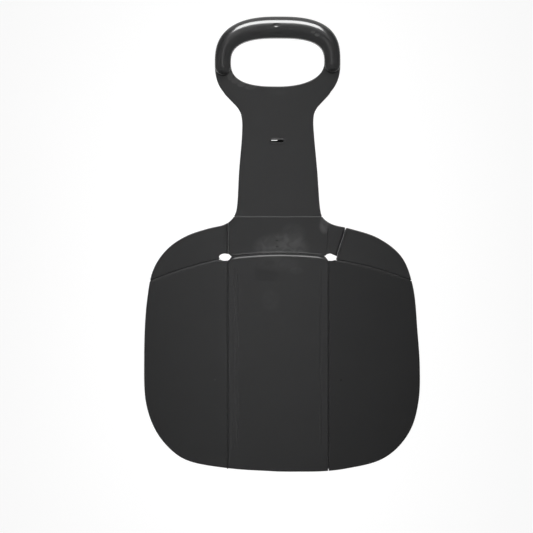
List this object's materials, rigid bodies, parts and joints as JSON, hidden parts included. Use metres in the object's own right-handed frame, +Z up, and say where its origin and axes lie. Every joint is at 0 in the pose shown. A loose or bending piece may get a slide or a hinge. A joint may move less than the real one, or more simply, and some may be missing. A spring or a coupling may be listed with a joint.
{
  "type": "folding flat snow sled",
  "caption": "Flat hand-held snow sled: a seat with folding side wings, front flaps and tongue, and a folding neck that ends in a D handle with a rounded grip.",
  "frame": {"origin": "on the underside of the seat panel, on the centre line and halfway along the seat", "axes": "+Y along the sled towards the handle, +X to the right as seen from above with the handle away, +Z up out of the face that is sat on"},
  "size_m": [0.298, 0.4913, 0.0123],
  "materials": {
    "sheet_plastic": "satin charcoal moulded sheet with faint scuffs",
    "tongue_plastic": "the same charcoal sheet, rubbed to a blotchy half gloss",
    "grip_plastic": "smooth half-gloss charcoal moulding",
    "hinge_plastic": "thin flexed skin, slightly paler where it has been bent"
  },
  "bodies": {
    "seat": {"seat_panel": "sheet_plastic", "left_wing_web": "hinge_plastic", "right_wing_web": "hinge_plastic", "tongue_web": "hinge_plastic"},
    "left_side": {"left_wing": "sheet_plastic", "left_flap_web": "hinge_plastic"},
    "right_side": {"right_wing": "sheet_plastic", "right_flap_web": "hinge_plastic"},
    "left_nose": {"left_flap": "sheet_plastic"},
    "right_nose": {"right_flap": "sheet_plastic"},
    "tongue": {"tongue_panel": "tongue_plastic", "neck_web": "hinge_plastic"},
    "handle": {"neck_panel": "sheet_plastic", "grip": "grip_plastic"}
  },
  "joints": [
    {"name": "left_side_fold", "type": "hinge", "parent": "seat", "child": "left_side", "pos_m": [-0.0544, 0, 0.00035], "axis": [0, 1, 0], "range_deg": [0, 12], "stiffness_Nm_per_rad": 0.03, "deforming": ["left_wing_web"]},
    {"name": "right_side_fold", "type": "hinge", "parent": "seat", "child": "right_side", "pos_m": [0.0544, 0, 0.00035], "axis": [0, -1, 0], "range_deg": [0, 12], "stiffness_Nm_per_rad": 0.03, "deforming": ["right_wing_web"]},
    {"name": "left_flap_fold", "type": "hinge", "parent": "left_side", "child": "left_nose", "pos_m": [-0.0642, 0.11175, 0.00035], "axis": [0.9559, 0.2938, 0], "range_deg": [0, 10], "stiffness_Nm_per_rad": 0.01, "deforming": ["left_flap_web"]},
    {"name": "right_flap_fold", "type": "hinge", "parent": "right_side", "child": "right_nose", "pos_m": [0.0642, 0.11103, 0.00035], "axis": [0.965, -0.2624, 0], "range_deg": [0, 10], "stiffness_Nm_per_rad": 0.01, "deforming": ["right_flap_web"]},
    {"name": "tongue_fold", "type": "hinge", "parent": "seat", "child": "tongue", "pos_m": [0, 0.1153, 0.00035], "axis": [1, 0, 0], "range_deg": [0, 45], "stiffness_Nm_per_rad": 0.02, "deforming": ["tongue_web"]},
    {"name": "neck_fold", "type": "hinge", "parent": "tongue", "child": "handle", "pos_m": [0, 0.1582, 0.00265], "axis": [1, 0, 0], "range_deg": [0, 80], "stiffness_Nm_per_rad": 0.02, "deforming": ["neck_web"]}
  ]
}
